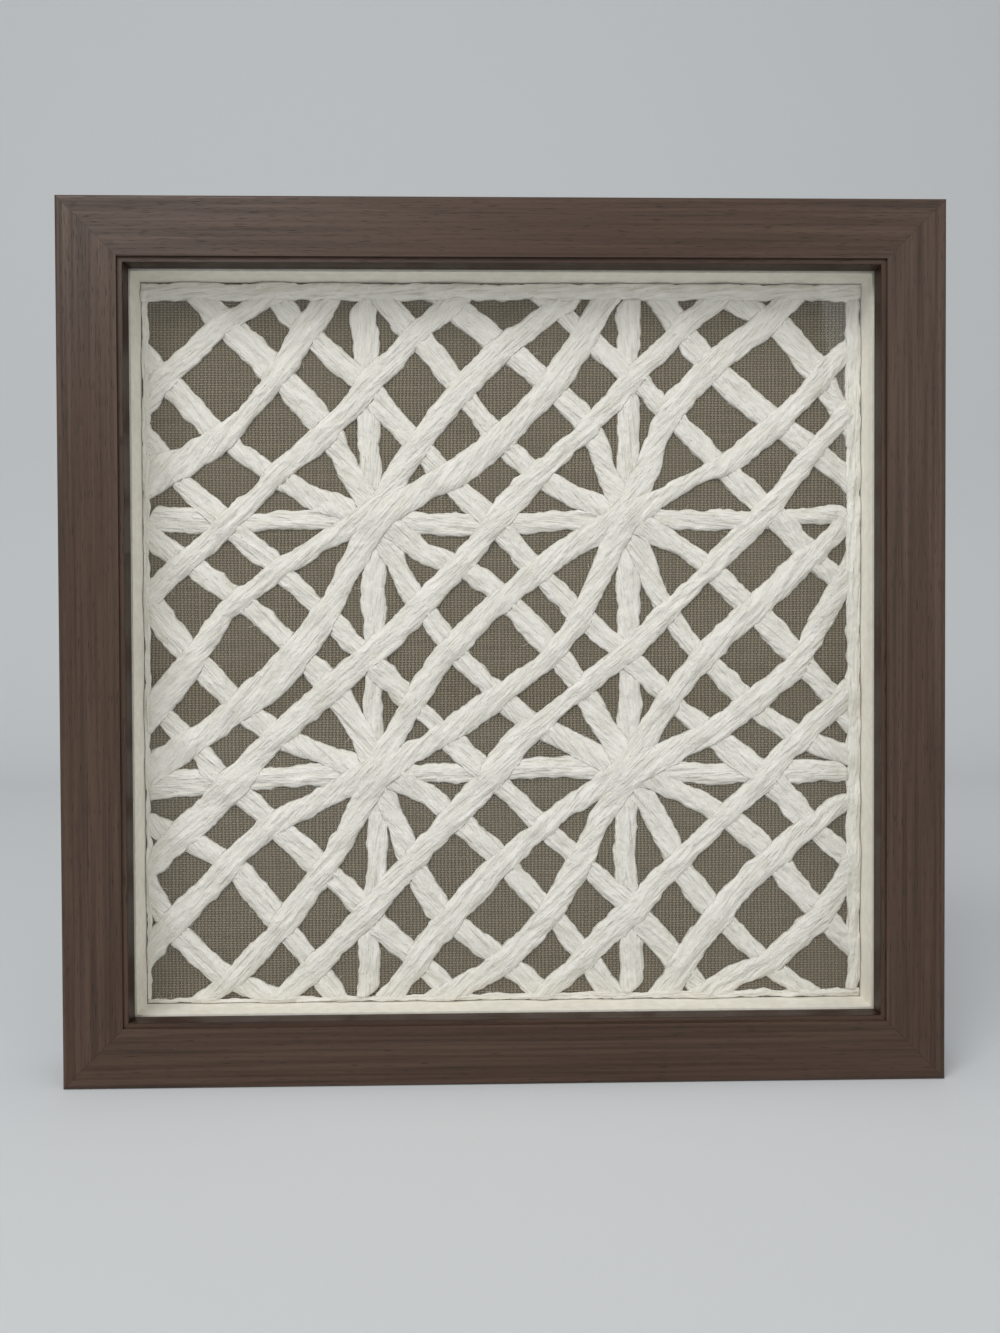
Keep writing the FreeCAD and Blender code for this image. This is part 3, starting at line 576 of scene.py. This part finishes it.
def lay_strip(name, number):
    stops, lower, upper = courses[name]
    way_x, way_z = way_of(name)
    width = upper - lower
    seed = number * 1.37
    twist = 0.10 * math.sin(number * 2.4)
    lower = rough_edge(lower, stops, -1, seed, seed + 9)
    upper = rough_edge(upper, stops, 1, seed + 5, seed + 11)
    share = np.linspace(0, 1, ACROSS)[None, :]
    share = share - 0.035 * np.sin(2 * math.pi * share)
    side = lower[:, None] * (1 - share) + upper[:, None] * share
    along = np.repeat(stops[:, None], ACROSS, axis=1)
    x = np.clip(along * way_x - side * way_z, -WINDOW, WINDOW)
    z = np.clip(along * way_z + side * way_x, -WINDOW, WINDOW)

    own, crown = own_height(share, side, along, stops, width, twist, seed)
    rest, face = draped(x, z, own, crown)
    write_map(x, z, face)
    piece = new_piece(name.replace("strip", "paper"), closed_rings(x, z, rest, face),
                      tube_faces(len(stops), ACROSS + UNDER), paper,
                      strip_map(stops, side, twist, number))
    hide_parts(name)
    return piece


order = [name for kind in ("upright", "level", "falling", "rising", "border")
         for name in strip_names if name.startswith(kind)]
laid = [lay_strip(name, number + 1) for number, name in enumerate(order)]
print("strips laid:", len(laid), "highest paper in mm:", round(float(height_map.max()) * 1000, 2),
      "faces:", sum(len(piece.data.polygons) for piece in laid))

# %% [markdown]
# ## Loose fibres
# Short hairs of paper stand off the strips. A Geometry Nodes tree scatters points on the
# strips' faces and puts one bent hair on each. The hairs become a plain mesh at the end.

# %% Loose fibres
def fibre_tree():
    tree = bpy.data.node_groups.new("loose_fibres", "GeometryNodeTree")
    sockets = [("Strips", "NodeSocketGeometry"), ("Hairs per square metre", "NodeSocketFloat"),
               ("Length", "NodeSocketFloat"), ("Thickness", "NodeSocketFloat"),
               ("Seed", "NodeSocketInt"), ("Material", "NodeSocketMaterial")]
    for title, kind in sockets:
        tree.interface.new_socket(name=title, in_out="INPUT", socket_type=kind)
    tree.interface.new_socket(name="Hairs", in_out="OUTPUT", socket_type="NodeSocketGeometry")

    def node(kind, **settings):
        made = tree.nodes.new(kind)
        for key, value in settings.items():
            setattr(made, key, value)
        return made

    def join(source, output, target, entry):
        tree.links.new(source.outputs[output], target.inputs[entry])

    given = node("NodeGroupInput")
    spread = node("GeometryNodeDistributePointsOnFaces")
    join(given, "Strips", spread, "Mesh")
    join(given, "Hairs per square metre", spread, "Density")
    join(given, "Seed", spread, "Seed")
    hair = node("GeometryNodeCurveQuadraticBezier")
    hair.inputs["Resolution"].default_value = 5
    hair.inputs["Start"].default_value = (0.0, 0.0, -0.02)
    hair.inputs["Middle"].default_value = (0.5, 0.25, 0.16)
    hair.inputs["End"].default_value = (1.0, -0.1, 0.02)
    size = node("ShaderNodeCombineXYZ")
    for axis in "XYZ":
        join(given, "Length", size, axis)
    sized = node("GeometryNodeTransform")
    join(hair, "Curve", sized, "Geometry")
    join(size, "Vector", sized, "Scale")
    ring = node("GeometryNodeCurvePrimitiveCircle")
    ring.inputs["Resolution"].default_value = 3
    join(given, "Thickness", ring, "Radius")
    thread = node("GeometryNodeCurveToMesh")
    join(sized, "Geometry", thread, "Curve")
    join(ring, "Curve", thread, "Profile Curve")
    thread.inputs["Fill Caps"].default_value = True
    chance = node("FunctionNodeRandomValue", data_type="FLOAT_VECTOR")
    chance.inputs[0].default_value = (-0.15, -0.15, 0.0)
    chance.inputs[1].default_value = (0.15, 0.15, 2 * math.pi)
    join(given, "Seed", chance, "Seed")
    turned = node("FunctionNodeRotateRotation", rotation_space="LOCAL")
    join(spread, "Rotation", turned, "Rotation")
    join(chance, 0, turned, "Rotate By")
    longer = node("FunctionNodeRandomValue", data_type="FLOAT")
    longer.inputs[2].default_value = 0.4
    longer.inputs[3].default_value = 1.5
    join(given, "Seed", longer, "Seed")
    placed = node("GeometryNodeInstanceOnPoints")
    join(spread, "Points", placed, "Points")
    join(thread, "Mesh", placed, "Instance")
    join(turned, "Rotation", placed, "Rotation")
    join(longer, 1, placed, "Scale")
    real = node("GeometryNodeRealizeInstances")
    join(placed, "Instances", real, "Geometry")
    painted = node("GeometryNodeSetMaterial")
    join(real, "Geometry", painted, "Geometry")
    join(given, "Material", painted, "Material")
    result = node("NodeGroupOutput")
    join(painted, "Geometry", result, "Hairs")
    return tree


def hair_host(pieces):
    """One mesh of the strips' front faces, on which the hairs are scattered."""
    points, faces = [], []
    for piece in pieces:
        mesh = piece.data
        start = len(points)
        points += [vertex.co[:] for vertex in mesh.vertices]
        faces += [[start + at for at in face.vertices] for face in mesh.polygons
                  if face.normal.y < -0.45 and len(face.vertices) == 4]
    mesh = bpy.data.meshes.new("hair_host")
    mesh.from_pydata(points, [], faces)
    host = bpy.data.objects.new("hair_host", mesh)
    bpy.context.scene.collection.objects.link(host)
    return host


def loose_fibres():
    host = hair_host(laid)
    tree = fibre_tree()
    modifier = host.modifiers.new("fibres", "NODES")
    modifier.node_group = tree
    wanted = {"Hairs per square metre": 42000.0, "Length": 0.0026, "Thickness": 0.000035,
              "Seed": 7, "Material": paper_plain}
    for item in tree.interface.items_tree:
        if item.in_out == "INPUT" and item.name in wanted:
            modifier[item.identifier] = wanted[item.name]
    graph = bpy.context.evaluated_depsgraph_get()
    mesh = bpy.data.meshes.new_from_object(host.evaluated_get(graph))
    mesh.name = "paper_fibres"
    bpy.data.objects.remove(host)
    hairs = bpy.data.objects.new("paper_fibres", mesh)
    bpy.context.scene.collection.objects.link(hairs)
    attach(hairs, "root")
    return hairs


paper_plain = speckled("paper_hair", colour(232, 229, 216), colour(244, 242, 234), (600.0,) * 3, 0.85)
hairs = loose_fibres()
print("hair faces:", len(hairs.data.polygons))

# %% [markdown]
# ## Floor and backdrop
# The floor is pale and runs back in a soft curve to a wall, so that no edge shows behind the
# object. It isn't part of the object.

# %% Floor and backdrop
def backdrop():
    bend = 0.5
    line = [(-9.0, 0.0), (0.8, 0.0)]
    for step in range(1, 13):
        turn = step / 12 * math.pi / 2
        line.append((0.8 + bend * math.sin(turn), bend - bend * math.cos(turn)))
    line.append((0.8 + bend, 8.0))
    points = [(side, y, z) for y, z in line for side in (-12.0, 12.0)]
    faces = [(2 * at, 2 * at + 1, 2 * at + 3, 2 * at + 2) for at in range(len(line) - 1)]
    mesh = bpy.data.meshes.new("backdrop")
    mesh.from_pydata(points, [], faces)
    mesh.polygons.foreach_set("use_smooth", [True] * len(mesh.polygons))
    material, shader, flow = new_material("pale_wall", 0.9)
    shader.inputs["Base Color"].default_value = colour(207, 210, 212)
    shader.inputs["Specular IOR Level"].default_value = 0.1
    mesh.materials.append(material)
    made = bpy.data.objects.new("backdrop", mesh)
    bpy.context.scene.collection.objects.link(made)
    return made


floor = backdrop()
print("floor made")

# %% [markdown]
# ## Light
# One wide soft lamp above and to the left, a weaker one from the right, and an even pale
# world. Together they show a colour about as it is written.

# %% Light
def soft_lamp(name, place, size, power):
    """A square lamp turned towards the middle of the object."""
    lamp = bpy.data.lights.new(name, "AREA")
    lamp.shape = "SQUARE"
    lamp.size = size
    lamp.energy = power
    made = bpy.data.objects.new(name, lamp)
    made.location = place
    toward = (Vector((0.0, 0.0, 0.15)) - Vector(place)).to_track_quat("-Z", "Y")
    made.rotation_mode = "QUATERNION"
    made.rotation_quaternion = toward
    bpy.context.scene.collection.objects.link(made)
    return made


lamps = [
    soft_lamp("key", (-0.7, -1.2, 1.4), 1.0, 19.0),
    soft_lamp("fill", (1.2, -1.4, 0.7), 1.2, 5.0),
]
world = bpy.data.worlds.new("pale_world")
bpy.context.scene.world = world
world.use_nodes = True
sky = world.node_tree.nodes["Background"]
sky.inputs["Color"].default_value = colour(231, 231, 230)
sky.inputs["Strength"].default_value = 0.72
print("lamps:", len(lamps))

# %% [markdown]
# ## Camera
# The camera stands where the photograph was taken, 35 cm in front of the glass and almost
# straight ahead. Its lens is 27 mm on a sensor whose long side is 36 mm.

# %% Camera
camera_data = bpy.data.cameras.new("camera")
camera_data.lens = 27.0
camera_data.sensor_width = 36.0
camera_data.clip_start = 0.01
camera_data.clip_end = 50.0
camera = bpy.data.objects.new("camera", camera_data)
bpy.context.scene.collection.objects.link(camera)
tilt = Euler((0.0137150, -0.0043408, 0.0194833), "XYZ").to_matrix()
right, forward, up = tilt[0], tilt[1], tilt[2]
turned = Matrix((right, up, -forward)).transposed().to_4x4()
turned.translation = (-0.00877, -0.35898, 0.14919)
camera.matrix_world = turned
bpy.context.scene.camera = camera
bpy.context.scene.view_settings.view_transform = "Standard"
print("camera at", [round(v, 3) for v in camera.matrix_world.translation])
